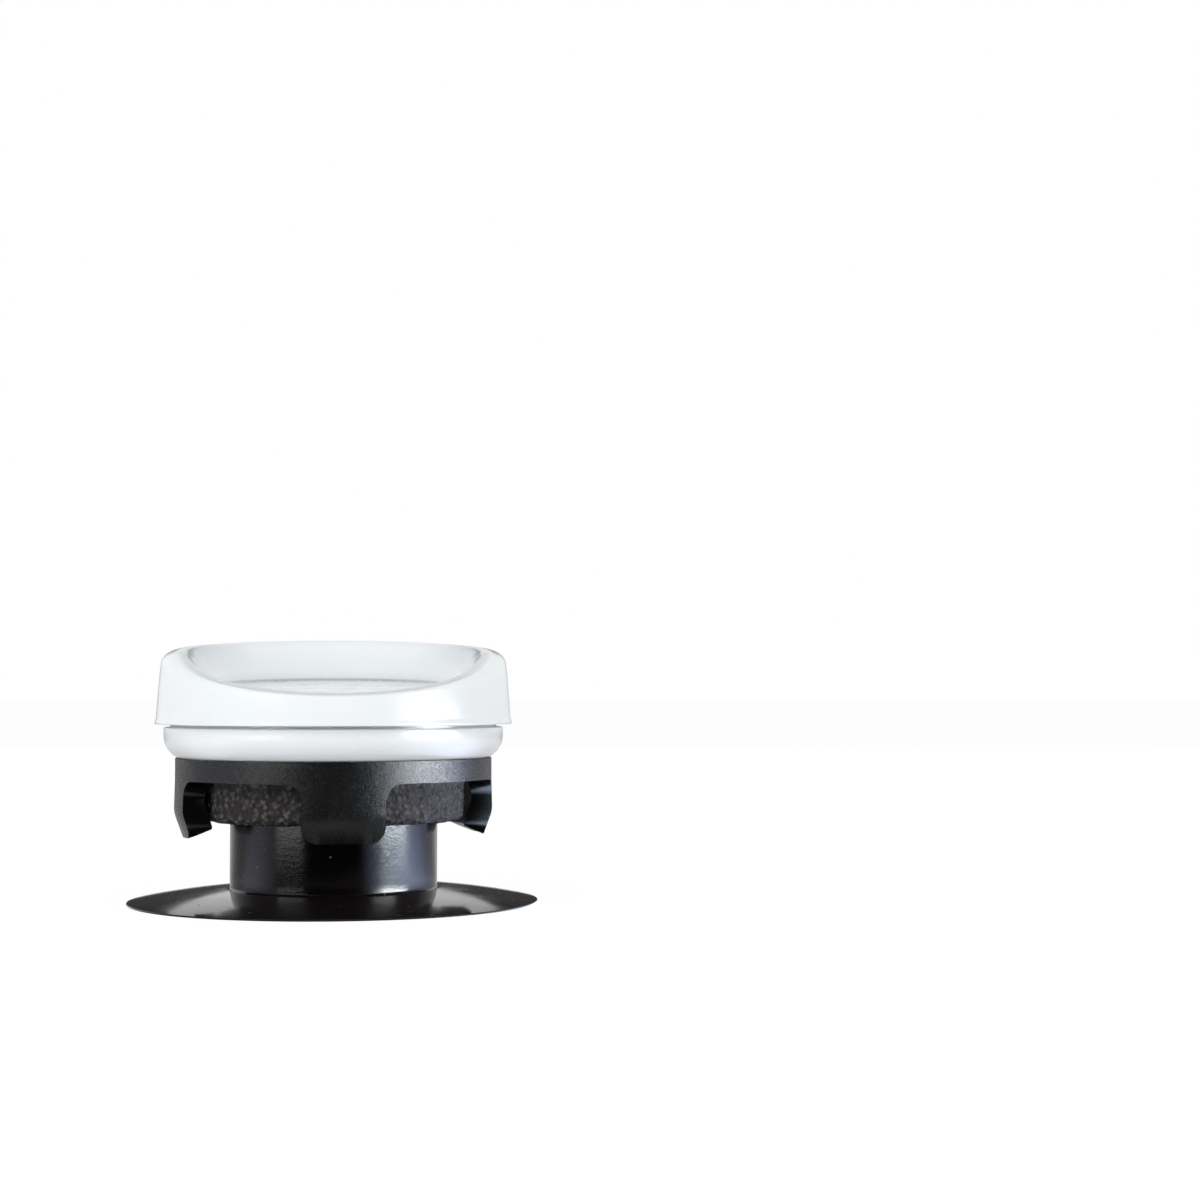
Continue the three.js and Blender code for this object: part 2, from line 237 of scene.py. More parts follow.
class Field:
    """A number, vector, colour or shader that varies over a surface or the sky, made from nodes."""

    def __init__(self, tree, socket):
        self.tree, self.socket = tree, socket

    def math(self, operation, *others):
        node = self.tree.nodes.new("ShaderNodeMath")
        node.operation = operation
        for socket, value in zip(node.inputs, (self, *others)):
            put(socket, value)
        return Field(self.tree, node.outputs[0])

    def __add__(self, other):
        return self.math("ADD", other)

    def __sub__(self, other):
        return self.math("SUBTRACT", other)

    def __mul__(self, other):
        return self.math("MULTIPLY", other)

    def mapped(self, low, high, to_low=0, to_high=1, kind="LINEAR"):
        """Runs from to_low to to_high as this runs from low to high, and stays there beyond."""
        node = self.tree.nodes.new("ShaderNodeMapRange")
        node.interpolation_type = kind
        for key, number in (
            ("From Min", low), ("From Max", high), ("To Min", to_low), ("To Max", to_high),
        ):
            node.inputs[key].default_value = number
        put(node.inputs["Value"], self)
        return Field(self.tree, node.outputs["Result"])

    def rise(self, low, high):
        """0 up to low, 1 from high, smooth between."""
        return self.mapped(low, high, kind="SMOOTHSTEP")

    def fall(self, low, high):
        """1 up to low, 0 from high, smooth between."""
        return self.rise(low, high) * -1 + 1

    def between(self, start, full, fading, end):
        """1 from full to fading, 0 outside start and end."""
        return self.rise(start, full) * self.fall(fading, end)

    def vector(self, operation, other=None):
        """Vector arithmetic, which gives a number for a length and a dot product."""
        node = self.tree.nodes.new("ShaderNodeVectorMath")
        node.operation = operation
        put(node.inputs[0], self)
        if other is not None:
            put(node.inputs[1], other)
        single = operation in ("DOT_PRODUCT", "LENGTH")
        return Field(self.tree, node.outputs["Value" if single else "Vector"])

    def parts(self):
        """The three numbers of a vector or colour."""
        node = self.tree.nodes.new("ShaderNodeSeparateXYZ")
        put(node.inputs[0], self)
        return [Field(self.tree, out) for out in node.outputs]

    def noise(self, scale, detail, rough=0.55):
        """Noise about 0.5 at this place."""
        node = self.tree.nodes.new("ShaderNodeTexNoise")
        node.inputs["Scale"].default_value = scale
        node.inputs["Detail"].default_value = detail
        node.inputs["Roughness"].default_value = rough
        put(node.inputs["Vector"], self)
        return Field(self.tree, node.outputs["Fac"])

    def cells(self, scale):
        """The distance to the nearest of many scattered points, and that point's own colour."""
        node = self.tree.nodes.new("ShaderNodeTexVoronoi")
        node.inputs["Scale"].default_value = scale
        put(node.inputs["Vector"], self)
        return Field(self.tree, node.outputs["Distance"]), Field(self.tree, node.outputs["Color"])

    def blend(self, one, other):
        """From one colour to the other as this goes from 0 to 1."""
        node = self.tree.nodes.new("ShaderNodeMix")
        node.data_type = "RGBA"
        put(node.inputs["Factor"], self)
        put(node.inputs[6], one)
        put(node.inputs[7], other)
        return Field(self.tree, node.outputs[2])

    def bump(self, distance, strength, normal=None):
        """A normal bent by this as a height, on top of another bent normal if there is one."""
        node = self.tree.nodes.new("ShaderNodeBump")
        node.inputs["Distance"].default_value = distance
        node.inputs["Strength"].default_value = strength
        put(node.inputs["Height"], self)
        if normal:
            put(node.inputs["Normal"], normal)
        return Field(self.tree, node.outputs["Normal"])


def put(socket, value):
    """Gives a socket a field, a number, a vector or a colour without its alpha."""
    if isinstance(value, Field):
        socket.id_data.links.new(value.socket, socket)
    elif socket.type == "RGBA":
        socket.default_value = (*value, 1)
    else:
        socket.default_value = value


def source(tree, kind, output):
    return Field(tree, tree.nodes.new(kind).outputs[output])


def face_normal(tree):
    """The normal of the face itself, without smoothing or bump."""
    return source(tree, "ShaderNodeNewGeometry", "True Normal")


def material(name):
    """A new material, the inputs of its one shader, and the place on the piece in metres."""
    made = bpy.data.materials.new(name)
    made.use_nodes = True
    tree = made.node_tree
    tree.nodes.clear()
    out = tree.nodes.new("ShaderNodeOutputMaterial")
    shader = tree.nodes.new("ShaderNodeBsdfPrincipled")
    tree.links.new(shader.outputs["BSDF"], out.inputs["Surface"])
    return made, shader.inputs, source(tree, "ShaderNodeTexCoord", "Object")


# Materials of the pieces.

def white_material(name, whites, rough):
    """Smooth white moulding: a cloud of tone, painted shade where the mesh says so, fine grain and
    waves.
    """
    made, shader, at = material(name)
    body = at.noise(160, 3).mapped(0.3, 0.7).blend(*whites)
    # The base colour is darkened towards the painted shade grey as far as the mesh's vertex layer
    # says.
    painted_shade = at.tree.nodes.new("ShaderNodeAttribute")
    painted_shade.attribute_name = "painted_shade"
    speckle = at.noise(5200, 3).mapped(0.3, 0.7, 0.85, 1.15)
    painted_shade_share = Field(at.tree, painted_shade.outputs["Fac"]) * speckle
    put(shader["Base Color"], painted_shade_share.blend(body, DISH_PAINTED_SHADE))
    put(shader["Roughness"], at.noise(420, 4).mapped(0.3, 0.7, rough - 0.05, rough + 0.07))
    # Level faces get little of the grain, which would ripple when seen almost edge on.
    upright = face_normal(at.tree).parts()[2].mapped(0.75, 0.97, 1, 0.08)
    waves = (at.noise(700, 2) * upright).bump(0.00002, 0.2)
    put(shader["Normal"], (at.noise(9000, 2) * upright).bump(0.000012, 0.6, waves))
    put(shader["IOR"], 1.5)
    put(shader["Subsurface Weight"], 0.12)
    put(shader["Subsurface Radius"], (0.0012, 0.0011, 0.001))
    put(shader["Subsurface Scale"], 1.0)
    return made


def clip_material():
    """Black plastic: a spark-eroded grain that glints on the outer skin, and smoother cut sides
    painted a darker black as shade.
    """
    made, shader, at = material("clip_plastic")
    outward = at.vector("MULTIPLY", (1, 1, 0)).vector("NORMALIZE")
    facing = outward.vector("DOT_PRODUCT", face_normal(at.tree))
    skin = facing.mapped(0.35, 0.75)
    body = at.noise(500, 4).mapped(0.3, 0.7).blend(*CLIP_BLACKS)
    # The cut sides get the darker black as painted shade, the outer skin the plain black.
    put(shader["Base Color"], skin.blend(CLIP_CUT_SHADE_BLACK, body))
    grain = at.noise(8200, 3, 0.65)
    rough = grain.mapped(0.3, 0.7, 0.2, 0.3) * skin.mapped(0, 1, 0.8, 1)
    rough_inside = facing.mapped(-0.3, -0.7, 0, 0.45)
    put(shader["Roughness"], rough + rough_inside)
    put(shader["Normal"], (grain * skin.mapped(0, 1, 0.35, 1)).bump(0.000033, 1.0))
    put(shader["IOR"], 1.62)
    return made


def tread_material():
    """Coarse dark rubber: lumps and pores, its colour darker in the hollows as painted shade and
    paler on what stands out.
    """
    made, shader, at = material("tread_rubber")
    lumps = at.noise(2300, 5, 0.65)
    apart, _ = at.cells(2600)
    height = lumps * apart.mapped(0.0, 0.7, 1.25, 0.55)
    # The colour follows the lumps' height: darker in the hollows as painted shade, paler on the
    # lumps.
    put(shader["Base Color"], height.mapped(0.34, 0.62).blend(*TREAD_HOLLOW_SHADE_BLACKS))
    put(shader["Roughness"], lumps.mapped(0.3, 0.7, 0.72, 0.42))
    put(shader["Normal"], height.bump(0.00036, 1.0))
    put(shader["IOR"], 1.45)
    return made


def stick_material():
    """Glossy black plastic: fine orange peel, a film on what faces up, and a few specks of dust."""
    made, shader, at = material("stick_plastic")
    apart, colour = at.cells(1400)
    dust = apart.math("LESS_THAN", 0.11) * colour.parts()[0].math("GREATER_THAN", 0.55)
    film = face_normal(at.tree).parts()[2].mapped(0.4, 0.9)
    body = film.blend(at.noise(260, 3).mapped(0.35, 0.7).blend(*STICK_BLACKS), STICK_FILM)
    put(shader["Base Color"], (dust * 0.6).blend(body, STICK_DUST))
    # The film is rough in the middle of the front, and smooth elsewhere.
    x, y, _ = at.parts()
    worn = (y + x.math("ABSOLUTE") * 0.8).mapped(-0.004, -0.008, -0.06, 0.14)
    haze = at.noise(380, 4).mapped(0.3, 0.7, 0.13, 0.2)
    put(shader["Roughness"], haze + film * worn + dust * 0.5)
    put(shader["Normal"], (at.noise(4200, 2) * film.mapped(0, 1, 1, 0.12)).bump(0.000014, 0.42))
    put(shader["IOR"], 1.5)
    return made


# Shapes. A place round the axis is given by back: -1 in front, 0 at the sides, 1 behind.

def rim_height(back):
    """The crest's height: steep in front, nearly level behind, with a soft change between."""
    level = RIM_SIDE + (RIM_BACK - RIM_SIDE) * back
    steep = RIM_FRONT + RIM_CLIMB * (back + 1)
    apart = level - steep
    return COVER_LOW + (level + steep - math.sqrt(apart * apart + RIM_BLEND ** 2)) / 2


def cover_wall(z):
    """The radius of the cover's drafted side at a height."""
    return COVER_R - DRAFT * (z - COVER_LOW)


def dish_floor(r, back):
    """The height of the dish's sloping floor, also carried on outside it."""
    return COVER_LOW + DISH_LEVEL + DISH_SLOPE * r * back


def crest(back):
    """The crest's radius and height, and the width and height of the rounding outside it."""
    crest_z = rim_height(back)
    share = clamp((crest_z - rim_height(-1)) / (rim_height(0) - rim_height(-1)))
    high = share * share * (3 - 2 * share)
    shoulder, rounding = (low + (top - low) * high for low, top in zip(CREST_LOW, CREST_HIGH))
    return cover_wall(crest_z - rounding) - shoulder, crest_z, shoulder, rounding


def cover_profile(turn):
    """The cover's section at a turn: pocket, foot, side, crest, then the dish to its middle."""
    back = -math.cos(turn)
    crest_r, crest_z, shoulder, rounding = crest(back)
    low = crest_z - rounding
    deep = crest_z - dish_floor(crest_r, back)
    lip_top = COVER_LOW + 0.4
    foot = softened([
        (POCKET_R, COVER_LOW + 0.3),
        (POCKET_R, COVER_LOW, 0.08),
        (COVER_R + 0.06, COVER_LOW, 0.06),
        (COVER_R + 0.055, COVER_LOW + 0.17, 0.08),
        (cover_wall(lip_top), lip_top),
    ])
    # The side leans in a little just under the crest's rounding.
    start, join = lip_top + 0.04, low + rounding * math.sin(math.radians(CREST_START))
    side = []
    for k in range(12):
        z = start + (join - start) * k / 12
        side.append((cover_wall(z) - 0.05 * max(0, 1 - (join - z) / 1.2) ** 2, z))
    wall = []
    for i in range(1, 27):
        out = 1 - i / 26
        climb = out * out * (3 - 2 * out) + 0.4 * out * (1 - out) ** 2
        r = DISH_R + (crest_r - DISH_R) * out
        wall.append((r, dish_floor(r, back) + deep * climb))
    groove = [(r, dish_floor(r, back) - depth) for r, depth in DISH_GROOVE]
    floor_radii = [DISH_FLOOR_R * (1 - k / 12) for k in range(13)]
    return [
        (0, PLUG_TOP),
        (POCKET_R, PLUG_TOP),
        *foot,
        *side,
        *arc(crest_r, low, shoulder - 0.045, rounding, CREST_START, 90, 14),
        *wall,
        *groove,
        *((r, dish_floor(r, back)) for r in floor_radii),
    ]


def painted_shade_at(r, height, back):
    """How much painted shade darkens the cover at a radius and a height over the dish's floor, from
    0 to 1.
    """
    crest_r, _, shoulder, _ = crest(back)
    if height < -0.1 or r > crest_r + 0.4:
        return 0
    behind = clamp(back + 0.4)
    front = clamp((-back - 0.4) / 0.3)
    not_behind = clamp(1.6 - 2 * back)
    # Painted shade along the crest: on its inner side, and on its outer rounding mostly in front.
    if r < crest_r + 0.001:
        depth = crest_r - r
        along_crest = 0.85 * max(0, 1 - depth / 1.7) * not_behind
        along_crest *= front + (1 - front) * min(0.6 + depth / 0.75, 1)
    else:
        past = (r - crest_r) / shoulder
        along_crest = 0.6 * clamp((0.9 - past) / 0.35) * front
        along_crest += 0.51 * max(0, 1 - past / 0.4) * (1 - front) * not_behind
    # Painted shade low down: on the floor's outer part, on the wall's foot and in the crease where
    # they meet.
    if r > crest_r:
        low = 0
    elif r < DISH_R:
        low = 0.4 * max(0, 1 - (DISH_R - r) / 4) * behind
    else:
        low = 0.25 * max(0, 1 - height / 0.8) ** 1.5 * behind
        low += 0.9 * behind * clamp((0.16 - height) / 0.1)
    return min(1, max(along_crest, low))


def cover_bmesh():
    """The cover, with a vertex layer that says where painted shade darkens the dish."""
    bm = turned(cover_profile, 288 if FINE else 96)
    layer = bm.verts.layers.float.new("painted_shade")
    for v in bm.verts:
        r = math.hypot(v.co.x, v.co.y)
        back = v.co.y / max(r, 0.001)
        v[layer] = painted_shade_at(r, v.co.z - dish_floor(r, back), back)
    return bm


def riser_bmesh():
    """The riser with its stud below and its plug above."""
    rounding_r = RISER_R - RISER_ROUND
    profile = softened([
        (0, STUD_LOW),
        (STUD_FOOT_R, STUD_LOW, 0.15),
        (STUD_FOOT_R, HEAD_TOP),
        (STUD_R, HEAD_TOP),
        (STUD_R, DISC_TOP),
        *dense([(STUD_R, DISC_TOP), (rounding_r, DISC_TOP)], 2.0)[1:-1],
        *arc(rounding_r, DISC_TOP + RISER_ROUND, RISER_ROUND, RISER_ROUND, -90, 0, 18),
        (RISER_R, SHOULDER, 0.1),
        (PLUG_R, SHOULDER),
        (PLUG_R, PLUG_TOP),
        (0, PLUG_TOP),
    ])
    return turned(lambda turn: profile, 256 if FINE else 96)


def claw_outline(top, low):
    """A claw seen from outside: fillets at its root, a round toe."""
    root = CLAW_HALF + CLAW_FILLET
    right = [(root, top)]
    right += arc(root, BAND_LOW - CLAW_FILLET, CLAW_FILLET, CLAW_FILLET, 90, 180, 10)
    toe = CLAW_TOE_ROUND
    right += arc(CLAW_HALF - toe, low + toe, toe, toe, 0, -90, 10)
    return right + [(-x, z) for x, z in reversed(right)]


def claw_bmesh(top, low, depth, degrees):
    """A claw's outline drawn out from the axis to the front, then turned about Z."""
    outline = claw_outline(top, low)
    claw = solid_between([(x, 0, z) for x, z in outline], [(x, -depth, z) for x, z in outline])
    return spin(claw, degrees)


def clip_bmesh():
    """The clip: a full turned shell, limited to its band and four claws, with bevelled edges."""
    outer = CLIP_R + 0.06
    inner_r = HEAD_R + 0.2
    # The disc's rim cradles the riser's rounding.
    rounding_r, rounding_z = RISER_R - RISER_ROUND, DISC_TOP + RISER_ROUND
    cradle = RISER_ROUND + 0.05
    steepest = math.acos((CLIP_R - 0.1 - rounding_r) / cradle)
    lip_z = rounding_z - cradle * math.sin(steepest)
    shell = softened([
        (DISC_HOLE_R, HEAD_TOP),
        (inner_r, HEAD_TOP),
        (inner_r, BAND_LOW, 0.2),
        (HEAD_R + 0.5, HEAD_LOW + 1.6, 0.5),
        (HOOK_R, HOOK_Z + 0.16, 0.3),
        (HOOK_R, HOOK_Z),
        (outer - 0.6, TOE_Z),
        (outer, HEAD_LOW + 0.68, 0.35),
        (CLIP_R, BAND_LOW, 0.2),
        (CLIP_R, lip_z),
        *arc(rounding_r, rounding_z, cradle, cradle, -math.degrees(steepest), -90, 8),
        (rounding_r - 0.05, DISC_TOP),
        (DISC_HOLE_R, DISC_TOP),
    ], 4)
    clip = temporary(turned(lambda turn: shell, 240 if FINE else 96, closed=True))
    far = outer + 1
    band = [(0, BAND_LOW), (far, BAND_LOW), (far, lip_z + 1), (0, lip_z + 1)]
    kept = temporary(turned(lambda turn: band, 24))
    for degrees in CLAW_TURNS:
        cut(kept, temporary(claw_bmesh(BAND_LOW + 0.64, TOE_Z, far, degrees)), "UNION")
    cut(clip, kept, "INTERSECT")
    bm = bmesh.new()
    bm.from_mesh(clip.data)
    bmesh.ops.remove_doubles(bm, verts=bm.verts, dist=0.004)
    bm.to_mesh(clip.data)
    bm.free()
    edge = clip.modifiers.new("edge", "BEVEL")
    edge.width, edge.segments, edge.limit_method = 0.09, 3, "ANGLE"
    edge.angle_limit = math.radians(38)
    edge.use_clamp_overlap = True
    settle(clip)
    return taken_back(clip)


def skirt_top(r):
    """The height of the skirt's crowned top at a radius."""
    return SKIRT_EDGE + SKIRT_CROWN * (1 - (r / SKIRT_R) ** 3)


def skirt_run(start, end, steps, drop=0):
    """Points from one radius to another along the skirt's top, or as far under it as drop says."""
    radii = (start + (end - start) * i / steps for i in range(steps + 1))
    return [(r, skirt_top(r) - drop) for r in radii]


def socket_bmesh():
    """What is cut away for the shaft: a round bar with two flats."""
    corner = math.degrees(math.asin(SOCKET_FLATS / 2 / SOCKET_R))
    outline = arc(0, 0, SOCKET_R, SOCKET_R, -corner, corner, 16)
    outline += arc(0, 0, SOCKET_R, SOCKET_R, 180 - corner, 180 + corner, 16)
    low, top = BOSS_RECESS - 1, BOSS_RECESS + SOCKET_DEPTH
    return solid_between([(x, y, low) for x, y in outline], [(x, y, top) for x, y in outline])


def rib_bmesh(degrees):
    """One rib between the socket's boss and the stem's wall."""
    bm = bmesh.new()
    bmesh.ops.create_cube(bm, size=1)
    size = (RIB_FAR - RIB_NEAR, RIB_THICK, RIB_TOP - RIB_LOW)
    middle = ((RIB_NEAR + RIB_FAR) / 2, 0, (RIB_LOW + RIB_TOP) / 2)
    bmesh.ops.scale(bm, vec=size, verts=bm.verts)
    bmesh.ops.translate(bm, vec=middle, verts=bm.verts)
    return spin(bm, degrees)


def thumbstick_bmesh():
    """Skirt, hollow stem and head plate in one turned shell, then the ribs and the shaft socket."""
    foot = SKIRT_R * (1 - (SKIRT_WALL - SKIRT_EDGE) / SKIRT_CROWN) ** (1 / 3)
    inner = STEM_R - STEM_WALL
    root = STEM_R + STEM_FILLET
    stem_low = skirt_top(root) + STEM_FILLET
    profile = [
        (0, BOSS_RECESS),
        (BOSS_R, BOSS_RECESS),
        (BOSS_R, PLATE_LOW),
        (inner, PLATE_LOW),
        *skirt_run(inner, foot, 10, SKIRT_WALL)[:-1],
        (foot, 0),
        (SKIRT_R - 0.03, 0),
        (SKIRT_R, 0.03),
        (SKIRT_R, SKIRT_EDGE - 0.04),
        (SKIRT_R - 0.03, SKIRT_EDGE),
        *skirt_run(SKIRT_R, root, 28)[1:-1],
        *arc(root, stem_low, STEM_FILLET, STEM_FILLET, 270, 180, 6),
        *dense([(STEM_R, stem_low), (STEM_R, PLATE_LOW)], 0.6)[1:],
        (PLATE_R, PLATE_LOW),
        (PLATE_R, PLATE_TOP),
        (0, PLATE_TOP),
    ]
    stick = temporary(turned(lambda turn: profile, 256 if FINE else 96))
    for i in range(4):
        cut(stick, temporary(rib_bmesh(45 + 90 * i)), "UNION")
    cut(stick, temporary(socket_bmesh()), "DIFFERENCE")
    return taken_back(stick)


def tread_bmesh():
    """The tread, with its coarse lumps pressed into the side and the underside."""
    hole = STEM_R + 0.05
    side_low, side_top = HEAD_LOW + TREAD_LOWER, HEAD_TOP - TREAD_UPPER
    lower = arc(HEAD_R - TREAD_LOWER, side_low, TREAD_LOWER, TREAD_LOWER, -90, 0, 8)
    upper = arc(HEAD_R - TREAD_UPPER, side_top, TREAD_UPPER, TREAD_UPPER, 0, 90, 5)
    dish_shares = [1 - i / 8 for i in range(9)]
    profile = [
        (0, PLATE_TOP),
        (PLATE_R + 0.05, PLATE_TOP),
        (PLATE_R + 0.05, PLATE_LOW - 0.05),
        (hole, PLATE_LOW - 0.05),
        *dense([(hole, HEAD_LOW), (HEAD_R - TREAD_LOWER, HEAD_LOW)], TREAD_GRID),
        *dense(lower, TREAD_GRID)[1:],
        *dense([(HEAD_R, side_low), (HEAD_R, side_top)], TREAD_GRID)[1:],
        *upper[1:],
        *((HEAD_DISH_R * s, HEAD_TOP - HEAD_DISH * (1 - s ** 2)) for s in dish_shares),
    ]
    bm = turned(lambda turn: profile, 420 if FINE else 120)
    for v in bm.verts:
        r, z = math.hypot(v.co.x, v.co.y), v.co.z
        inside = z > HEAD_LOW + 0.4 and r < HEAD_R - TREAD_LOWER
        if r < hole + 0.05 or z > side_top + 0.02 or inside:
            continue
        fade = min(1, (r - hole) / 0.5, (side_top + 0.05 - z) / 0.3)
        lump = noise.fractal(v.co * 1.9, 0.9, 2.1, 4)
        pore = noise.noise(v.co * 4.6)
        inward = Vector((-v.co.x / r, -v.co.y / r, 0.5 if z < HEAD_LOW + 0.3 else 0))
        v.co += inward * fade * (TREAD_SKIN + TREAD_LUMP * lump + TREAD_PORE * pore)
    return bm


def round_skin(obj):
    """Turns the normals of a round piece's outer skin straight away from the axis."""
    mesh = obj.data
    normals = [(0.0, 0.0, 0.0)] * len(mesh.loops)
    now = mesh.corner_normals
    for face in mesh.polygons:
        out = Vector((face.center.x, face.center.y)).normalized()
        level_part = Vector((face.normal.x, face.normal.y))
        if level_part.length < 0.5 or level_part.normalized().dot(out) < 0.997:
            continue
        upright = abs(face.normal.z) < 0.03
        for loop in face.loop_indices:
            at = mesh.vertices[mesh.loops[loop].vertex_index].co
            out = Vector((at.x, at.y)).normalized()
            up = 0 if upright else clamp(now[loop].vector.z, -0.95, 0.95)
            level = math.sqrt(1 - up * up)
            normals[loop] = (out.x * level, out.y * level, up)
    mesh.normals_split_custom_set(normals)


WHITE = white_material("white_rubber", RUBBER_WHITES, 0.16)
WHITE_HARD = white_material("white_plastic", PLASTIC_WHITES, 0.2)
cover = piece("cover_look", cover_bmesh(), WHITE, "thumb_cover", 50)
riser = piece("riser_look", riser_bmesh(), WHITE_HARD, "riser", 50)
clip = piece("clip_look", clip_bmesh(), clip_material(), "stick_clip", 38)
round_skin(clip)
tread = piece("tread_look", tread_bmesh(), tread_material(), "head_tread", 80)
stick = piece("stick_look", thumbstick_bmesh(), stick_material(), "thumbstick", 35)


# The studio. Angles are in degrees: azimuth from the front towards +X, height over the horizon.

# What reflections find low down, by azimuth, as one grey or as red, green and blue.
# The floor: dark in front, a broad cool light at the right, pale behind.
FLOOR_STOPS = [
    (-180, 0.6), (-150, 0.65), (-128, 0.3), (-113, 0.3), (-98, 0.75, 0.75, 0.9),
    (-84, 0.85, 0.85, 1.0), (-70, 0.6, 0.6, 0.75), (-54, 0.02), (28, 0.0), (42, 0.8, 1.0, 1.3),
    (53, 1.8, 2.3, 2.9), (80, 3.3, 4.0, 5.7), (100, 1.6, 1.8, 2.6), (113, 0.7, 0.75, 1.05),
    (130, 0.45), (150, 0.8), (180, 0.6),
]
FLOOR_TOP = 6.0
# The room: black in front, dim at the sides, pale behind.
ROOM_STOPS = [
    (-180, 1.0), (-150, 1.0), (-125, 0.7), (-100, 0.3), (-75, 0.25), (-55, 0.2), (-35, 0.06),
    (-20, 0.0), (26, 0.0), (40, 0.15), (90, 0.25), (108, 0.3), (125, 0.75), (150, 1.0), (180, 1.0),
]
ROOM_TOP = 1.0

# The azimuths of the lights that reflections find: start, full, fading, end.
BOX_SIDES, FOOT_SIDES = (43, 49, 71, 73), (50, 58, 82, 90)
LEFT_SIDES, SPOT_SIDES = (-68, -60, -38, -30), (-68, -62, -36, -30)


def around(place):
    """The azimuth and the height of a place or direction, both in degrees."""
    x, y, z = place.parts()
    return x.math("ARCTAN2", y * -1) * 57.2958, z.math("ARCSINE") * 57.2958


def ramp(azimuth, stops, top):
    """Colour along the azimuth, from stops of degrees and radiance, as shares of top."""
    node = azimuth.tree.nodes.new("ShaderNodeValToRGB")
    points = node.color_ramp.elements
    while len(points) < len(stops):
        points.new(0.5)
    for point, (degrees, *colour) in zip(points, sorted(stops)):
        point.position = (degrees + 180) / 360
        rgb = colour if len(colour) == 3 else colour * 3
        point.color = (*(c / top for c in rgb), 1)
    put(node.inputs["Fac"], azimuth * (1 / 360) + 0.5)
    return Field(azimuth.tree, node.outputs["Color"])


def glow(tree, kind, colour, strength):
    """Plain light of a colour: a ShaderNodeEmission or a ShaderNodeBackground."""
    node = tree.nodes.new(kind)
    put(node.inputs["Color"], colour)
    put(node.inputs["Strength"], strength)
    return Field(tree, node.outputs[0])


def mixed(share, one, other):
    """From one shader to the other as share goes from 0 to 1."""
    node = share.tree.nodes.new("ShaderNodeMixShader")
    for socket, value in zip(node.inputs, (share, one, other)):
        put(socket, value)
    return Field(share.tree, node.outputs[0])


def summed(shaders):
    """The sum of some shaders."""
    total = shaders[0]
    for shader in shaders[1:]:
        node = total.tree.nodes.new("ShaderNodeAddShader")
        put(node.inputs[0], total)
        put(node.inputs[1], shader)
        total = Field(total.tree, node.outputs[0])
    return total


def rays(tree):
    """1 for the rays that show a thing plainly, and 1 for those that are reflections."""
    path = tree.nodes.new("ShaderNodeLightPath")
    camera, through, glossy = (
        Field(tree, path.outputs[f"Is {kind} Ray"]) for kind in ("Camera", "Transmission", "Glossy")
    )
    return camera.math("MAXIMUM", through), glossy


def floor_material():
    """Nearly white with a soft shadow to the camera, and a lit table top to reflections."""
    made = bpy.data.materials.new("floor")
    made.use_nodes = True
    tree = made.node_tree
    tree.nodes.clear()
    out = tree.nodes.new("ShaderNodeOutputMaterial")
    seen, glossy = rays(tree)
    diffuse = tree.nodes.new("ShaderNodeBsdfDiffuse")
    put(diffuse.inputs["Color"], (0.9, 0.9, 0.9))
    white = glow(tree, "ShaderNodeEmission", WHITE_LIGHT, 1.05)
    shown = mixed(seen * 0.88, Field(tree, diffuse.outputs[0]), white)
    place = source(tree, "ShaderNodeNewGeometry", "Position")
    azimuth, _ = around(place)
    distance = place.vector("LENGTH")
    # The ramp is strong near the grip. The two lights lie further off, where the clip sees them.
    off, far = distance.rise(0.08, 0.2), distance.fall(0.32, 0.45)
    ramp_strength = off * -4.6 + FLOOR_TOP
    right = off * azimuth.between(*FOOT_SIDES) * (distance.rise(0.17, 0.25) * far * 76 + 2)
    left = off * azimuth.between(*LEFT_SIDES) * far * 10
    close = distance.fall(0.018, 0.024) * 0.35
    mirrored = summed([
        glow(tree, "ShaderNodeEmission", ramp(azimuth, FLOOR_STOPS, FLOOR_TOP), ramp_strength),
        glow(tree, "ShaderNodeEmission", COOL_LIGHT, right),
        glow(tree, "ShaderNodeEmission", WHITE_LIGHT, left),
        glow(tree, "ShaderNodeEmission", WHITE_LIGHT, close),
    ])
    put(out.inputs["Surface"], mixed(glossy, shown, mirrored))
    return made


def build_floor():
    """A level square of six metres, under the grip."""
    bm = bmesh.new()
    corners = ((-3, -3, 0), (3, -3, 0), (3, 3, 0), (-3, 3, 0))
    bm.faces.new([bm.verts.new(corner) for corner in corners])
    obj = added_object("floor", bm)
    obj.data.materials.append(floor_material())


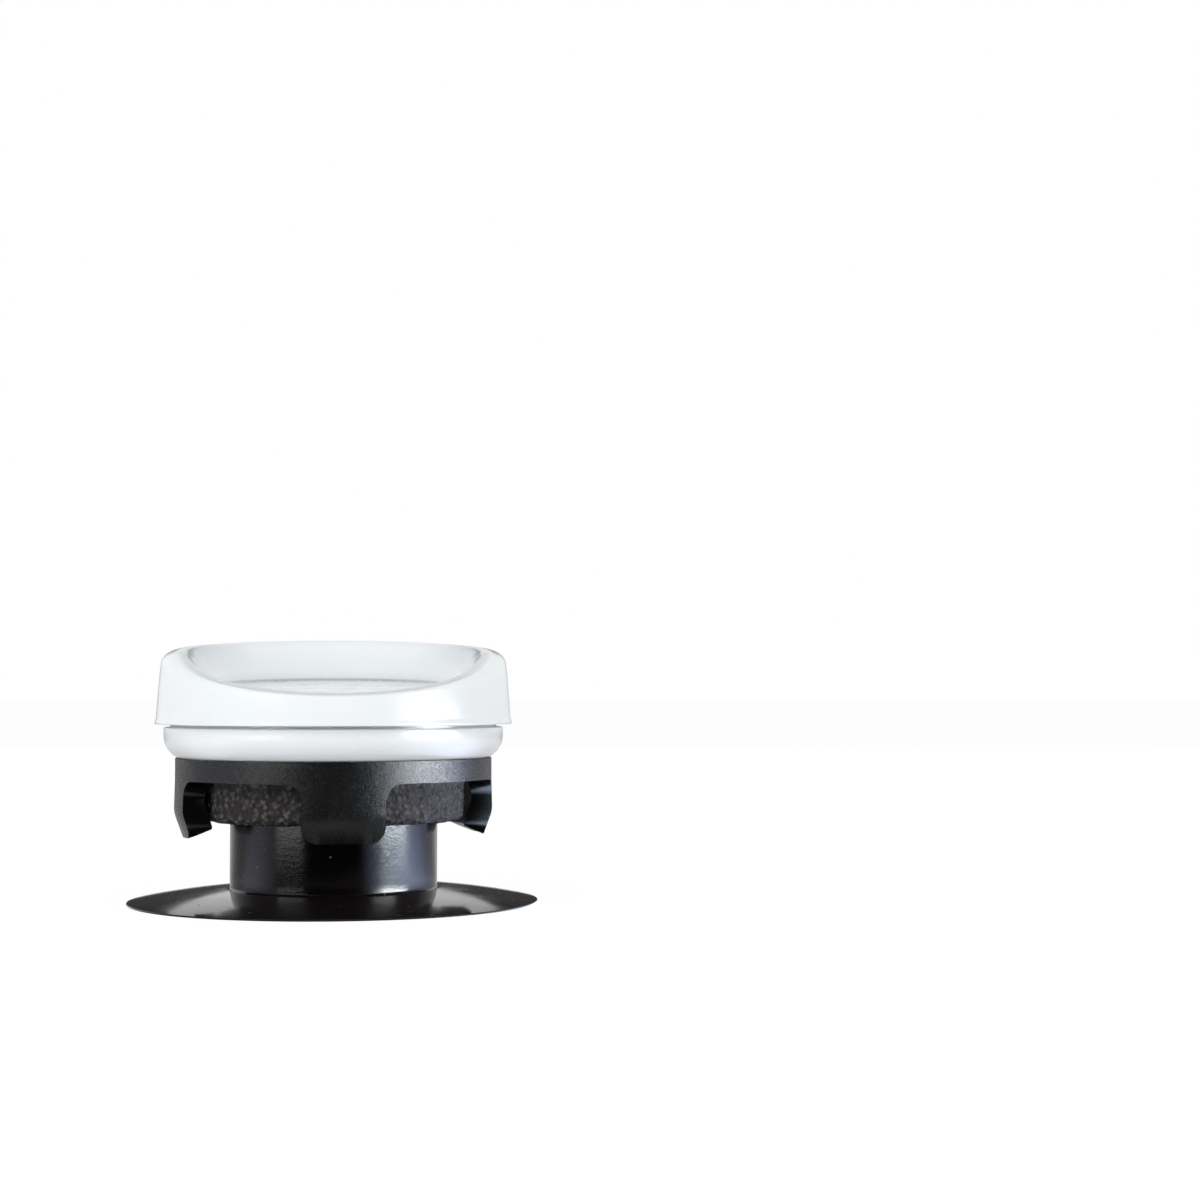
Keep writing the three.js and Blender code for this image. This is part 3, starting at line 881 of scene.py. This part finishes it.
def build_world():
    """White to the camera, half as bright to the pieces, and the studio's room to reflections."""
    world = bpy.data.worlds.new("studio")
    bpy.context.scene.world = world
    world.use_nodes = True
    tree = world.node_tree
    tree.nodes.clear()
    out = tree.nodes.new("ShaderNodeOutputWorld")
    seen, glossy = rays(tree)
    azimuth, height = around(source(tree, "ShaderNodeTexCoord", "Generated"))
    plain_white = glow(tree, "ShaderNodeBackground", WHITE_LIGHT, seen * 0.5 + 0.5)
    # Behind, dark flags leave a slanted window open, which shapes the skirt's pale patches.
    off_back = azimuth.math("ABSOLUTE") * -1 + 180
    window = off_back - height * 0.41
    flags = window.rise(0.4, 0.9) * off_back.fall(13, 16) * height.fall(24, 30)
    dim = off_back.fall(20, 40) * height.fall(0, 12) * -0.15 + 1
    room_strength = (flags * -0.93 + 1) * height.fall(35, 60) * dim
    # At the right a tall box and a strong low foot, at the left a small spot.
    box = azimuth.between(*BOX_SIDES) * height.between(-1, 1, 20, 26)
    foot = azimuth.between(*FOOT_SIDES) * height.between(-1, 1, 2, 5)
    spot = azimuth.between(*SPOT_SIDES) * height.between(12, 16, 20, 25)
    mirrored = summed([
        glow(tree, "ShaderNodeBackground", ramp(azimuth, ROOM_STOPS, ROOM_TOP), room_strength),
        glow(tree, "ShaderNodeBackground", WHITE_LIGHT, height.rise(35, 60) * 0.5),
        glow(tree, "ShaderNodeBackground", COOL_LIGHT, box * 7 + foot * 44),
        glow(tree, "ShaderNodeBackground", WHITE_LIGHT, spot * 2.6),
    ])
    put(out.inputs["Surface"], mixed(glossy, plain_white, mirrored))


LAMP_DISTANCE, LAMP_AIM = 0.4, Vector((0, 0, 0.01))


def lamp(name, azimuth, height, size, watts):
    """A soft lamp that lights the grip. What it shows in reflections is the world's part."""
    data = bpy.data.lights.new(name, "AREA")
    data.shape, data.size, data.size_y = "RECTANGLE", *size
    data.energy, data.color = watts, LAMP_LIGHT
    a, h = math.radians(azimuth), math.radians(height)
    away = Vector((math.sin(a) * math.cos(h), -math.cos(a) * math.cos(h), math.sin(h)))
    obj = bpy.data.objects.new(name, data)
    obj.location = away * LAMP_DISTANCE + LAMP_AIM
    obj.rotation_euler = (obj.location - LAMP_AIM).to_track_quat("Z", "Y").to_euler()
    obj.visible_glossy = False
    bpy.context.scene.collection.objects.link(obj)


# The camera's place in metres and its turns in degrees, fitted to the photo.
CAMERA_PLACE, CAMERA_TILT, CAMERA_PAN = (0, -0.15915, 0.01449), 2.226, -6.572
CAMERA_LENS, CAMERA_SENSOR = 69.0, 36.0

build_floor()
build_world()
lamp("front", -6, 30, (0.34, 0.24), 0.42)
lamp("left", -65, 18, (0.3, 0.3), 0.55)
lamp("right", 65, 18, (0.3, 0.3), 0.46)
lamp("back", 180, 14, (0.4, 0.25), 0.25)

camera_data = bpy.data.cameras.new("camera")
camera_data.lens, camera_data.sensor_width = CAMERA_LENS, CAMERA_SENSOR
camera_data.clip_start, camera_data.clip_end = 0.005, 20
camera = bpy.data.objects.new("camera", camera_data)
camera.location = CAMERA_PLACE
camera.rotation_euler = (math.radians(90 + CAMERA_TILT), 0, math.radians(CAMERA_PAN))
bpy.context.scene.collection.objects.link(camera)
bpy.context.scene.camera = camera

bpy.context.scene.view_settings.view_transform = "Standard"

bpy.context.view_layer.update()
